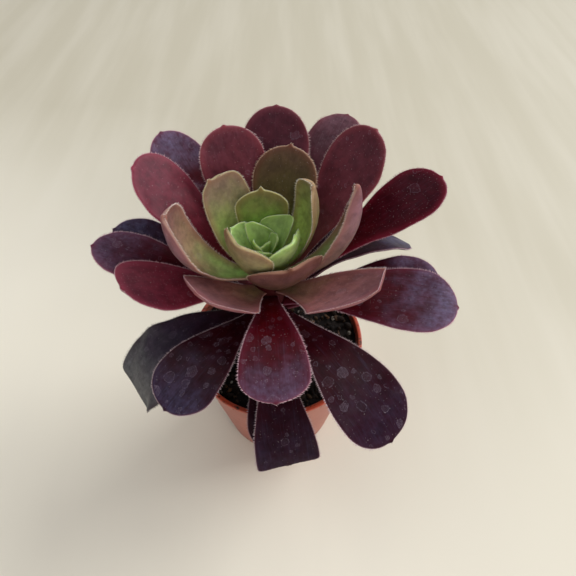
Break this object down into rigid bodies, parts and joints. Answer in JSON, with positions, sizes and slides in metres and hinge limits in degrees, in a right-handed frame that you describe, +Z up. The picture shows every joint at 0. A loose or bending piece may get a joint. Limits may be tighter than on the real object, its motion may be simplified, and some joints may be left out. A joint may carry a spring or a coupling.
{
  "type": "potted aeonium",
  "caption": "Potted aeonium: a dark burgundy rosette of spoon-shaped leaves with a green heart, on a short stem in a small round terracotta-coloured plastic pot.",
  "frame": {"origin": "centre of the pot's underside, on the surface it stands on", "axes": "+Z up, -Y towards the front, +X to the right seen from the front"},
  "size_m": [0.147, 0.1334, 0.1686],
  "materials": {
    "pot_plastic": "satin",
    "peat": "matte",
    "stem_bark": "matte",
    "dark_leaf": "satin",
    "dusky_leaf": "satin",
    "green_leaf": "satin",
    "heart_green": "satin"
  },
  "bodies": {
    "root": {"heart_leaf_01": "heart_green", "heart_leaf_02": "heart_green", "heart_leaf_03": "heart_green", "heart_leaf_04": "heart_green", "heart_leaf_05": "heart_green", "heart_leaf_06": "heart_green", "heart_leaf_07": "heart_green", "inner_leaf_01": "green_leaf", "inner_leaf_02": "green_leaf", "inner_leaf_03": "green_leaf", "inner_leaf_04": "green_leaf", "inner_leaf_05": "green_leaf", "lower_leaf_01": "dark_leaf", "lower_leaf_02": "dark_leaf", "lower_leaf_03": "dark_leaf", "lower_leaf_04": "dark_leaf", "lower_leaf_05": "dark_leaf", "lower_leaf_06": "dark_leaf", "middle_leaf_01": "dusky_leaf", "middle_leaf_02": "dusky_leaf", "middle_leaf_03": "dusky_leaf", "middle_leaf_04": "dusky_leaf", "middle_leaf_05": "dusky_leaf", "middle_leaf_06": "dusky_leaf", "outer_leaf_01": "dark_leaf", "outer_leaf_02": "dark_leaf", "outer_leaf_03": "dark_leaf", "outer_leaf_04": "dark_leaf", "outer_leaf_05": "dark_leaf", "outer_leaf_06": "dark_leaf", "outer_leaf_07": "dark_leaf", "outer_leaf_08": "dark_leaf", "outer_leaf_09": "dark_leaf", "outer_leaf_10": "dark_leaf", "outer_leaf_11": "dark_leaf", "outer_leaf_12": "dark_leaf", "outer_leaf_13": "dark_leaf", "outer_leaf_14": "dark_leaf", "outer_leaf_15": "dark_leaf", "outer_leaf_16": "dark_leaf", "outer_leaf_17": "dark_leaf", "outer_leaf_18": "dark_leaf", "pot": "pot_plastic", "soil": "peat", "stem": "stem_bark"}
  },
  "joints": []
}
